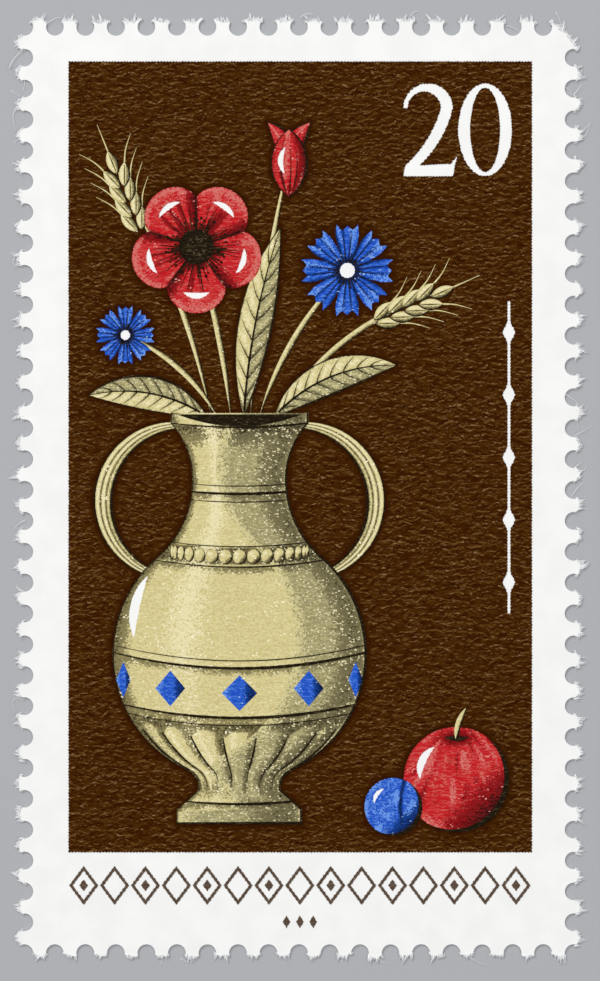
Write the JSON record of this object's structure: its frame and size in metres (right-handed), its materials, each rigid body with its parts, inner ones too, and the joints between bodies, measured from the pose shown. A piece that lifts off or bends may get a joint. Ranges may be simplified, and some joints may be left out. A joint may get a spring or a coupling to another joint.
{
  "type": "postage stamp",
  "caption": "Small upright perforated paper stamp with a printed still life: an ochre jug of flowers and fruit on a brown ground, in a white border.",
  "frame": {"origin": "middle of the sheet's outline, on its gummed back, which is the lowest face", "axes": "+X to the right across the printed face, +Y up the picture, +Z out of the printed face"},
  "size_m": [0.026, 0.0434, 0.0001],
  "materials": {
    "paper": "smooth white coated stamp paper",
    "brown_ink": "dark brown printing ink on paper",
    "ochre_ink": "pale ochre printing ink on paper",
    "shade_ink": "grey-green shading ink on ochre ink",
    "red_ink": "red printing ink on paper",
    "blue_ink": "blue printing ink on paper",
    "black_ink": "black line ink on the other inks"
  },
  "bodies": {
    "root": {"paper_sheet": "paper", "brown_ink": "brown_ink", "ochre_ink": "ochre_ink", "shade_ink": "shade_ink", "red_ink": "red_ink", "blue_ink": "blue_ink", "black_ink": "black_ink"}
  },
  "joints": []
}
